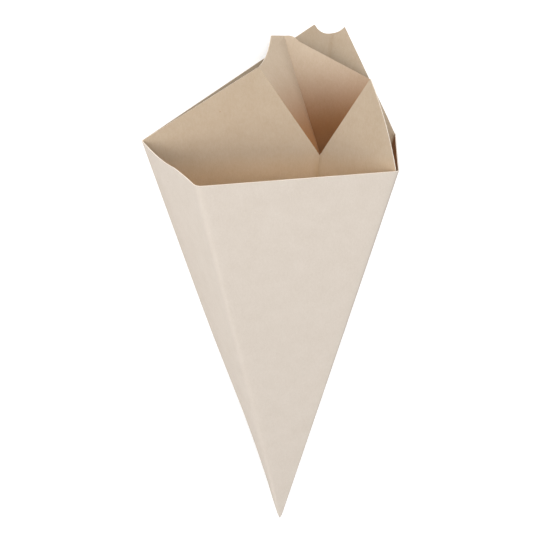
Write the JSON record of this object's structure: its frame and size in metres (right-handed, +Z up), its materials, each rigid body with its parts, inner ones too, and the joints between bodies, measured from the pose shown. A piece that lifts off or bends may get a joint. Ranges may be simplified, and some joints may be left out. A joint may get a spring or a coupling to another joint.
{
  "type": "french fries cone",
  "caption": "Folded card cone for carrying fries, with a sauce pocket in its back corner, shown lying on its back.",
  "frame": {"origin": "bottom centre of the box of the lying cone", "axes": "+Y along the cone from the closed tip to the mouth, +X to the right seen from the front panel, +Z up, away from the surface it lies on"},
  "size_m": [0.1238, 0.2472, 0.081],
  "materials": {
    "card": "matt natural kraft card, lighter on its cut edges"
  },
  "bodies": {
    "root": {"card_cone": "card"}
  },
  "joints": []
}
